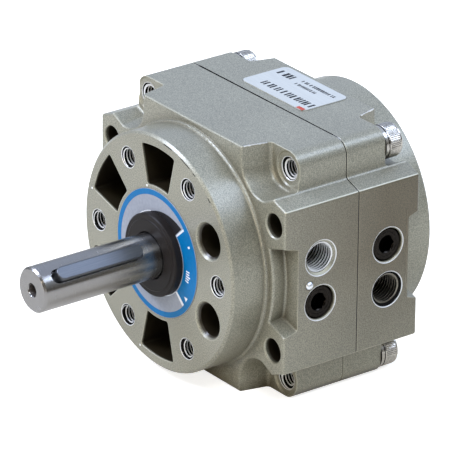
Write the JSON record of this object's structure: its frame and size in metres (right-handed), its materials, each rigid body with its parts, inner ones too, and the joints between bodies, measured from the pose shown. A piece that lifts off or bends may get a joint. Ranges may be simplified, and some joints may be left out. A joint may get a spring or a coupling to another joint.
{
  "type": "rotary vane actuator",
  "caption": "Compressed-air rotary vane actuator: round mounting faces on a square casting, a keyed output shaft and a squared rear shaft end.",
  "frame": {"origin": "centre of the front mounting face, on the shaft axis", "axes": "-Y along the keyed output shaft, +X out of the port face, +Z out of the pad that carries the nameplate"},
  "size_m": [0.112, 0.163, 0.0963],
  "materials": {
    "body_paint": "satin champagne-grey paint with a fine grain on die-cast aluminium",
    "ground_steel": "ground and turned shaft steel",
    "key_steel": "bright drawn key steel",
    "bearing_steel": "hardened and ground",
    "bright_steel": "polished balls",
    "bolt_steel": "bright plated steel",
    "black_steel": "black oxide",
    "die_cast_aluminium": "machined",
    "black_rubber": "moulded nitrile rubber",
    "black_cap": "charcoal moulded plastic",
    "cage_plastic": "moulded polyamide",
    "nameplate_foil": "pale printed foil",
    "dial_film": "blue and grey printed film"
  },
  "bodies": {
    "housing": {"front_body": "body_paint", "rear_body": "body_paint", "stopper": "die_cast_aluminium", "stopper_seal": "black_rubber", "body_oring": "black_rubber", "front_cap": "black_cap", "rear_cap": "black_cap", "front_seal_ring": "die_cast_aluminium", "rear_seal_ring": "die_cast_aluminium", "front_shaft_oring": "black_rubber", "rear_shaft_oring": "black_rubber", "front_port_plug": "black_steel", "rear_port_plug": "black_steel", "passage_ball": "bright_steel", "nameplate": "nameplate_foil", "dial_label": "dial_film", "front_bearing_outer": "bearing_steel", "rear_bearing_outer": "bearing_steel", "tie_bolt_1": "bolt_steel", "tie_bolt_2": "bolt_steel", "tie_bolt_3": "bolt_steel", "tie_bolt_4": "bolt_steel", "spring_washer_1": "bolt_steel", "spring_washer_2": "bolt_steel", "spring_washer_3": "bolt_steel", "spring_washer_4": "bolt_steel"},
    "shaft": {"vane_shaft": "ground_steel", "vane_jacket": "black_rubber", "shaft_key": "key_steel", "front_bearing_inner": "bearing_steel", "rear_bearing_inner": "bearing_steel"},
    "front_ball_set": {"front_bearing_balls": "bright_steel", "front_bearing_cage": "cage_plastic"},
    "rear_ball_set": {"rear_bearing_balls": "bright_steel", "rear_bearing_cage": "cage_plastic"}
  },
  "joints": [
    {"name": "shaft_turn", "type": "hinge", "parent": "housing", "child": "shaft", "pos_m": [0, 0, 0], "axis": [0, -1, 0], "range_deg": [0, 270]},
    {"name": "front_cage_turn", "type": "hinge", "parent": "housing", "child": "front_ball_set", "pos_m": [0, 0.009, 0], "axis": [0, -1, 0], "range_deg": [0, 112]},
    {"name": "rear_cage_turn", "type": "hinge", "parent": "housing", "child": "rear_ball_set", "pos_m": [0, 0.081, 0], "axis": [0, -1, 0], "range_deg": [0, 112]}
  ],
  "couplings": [
    {"joint": "front_cage_turn", "follows": "shaft_turn", "ratio": 0.4085},
    {"joint": "rear_cage_turn", "follows": "shaft_turn", "ratio": 0.4085}
  ]
}
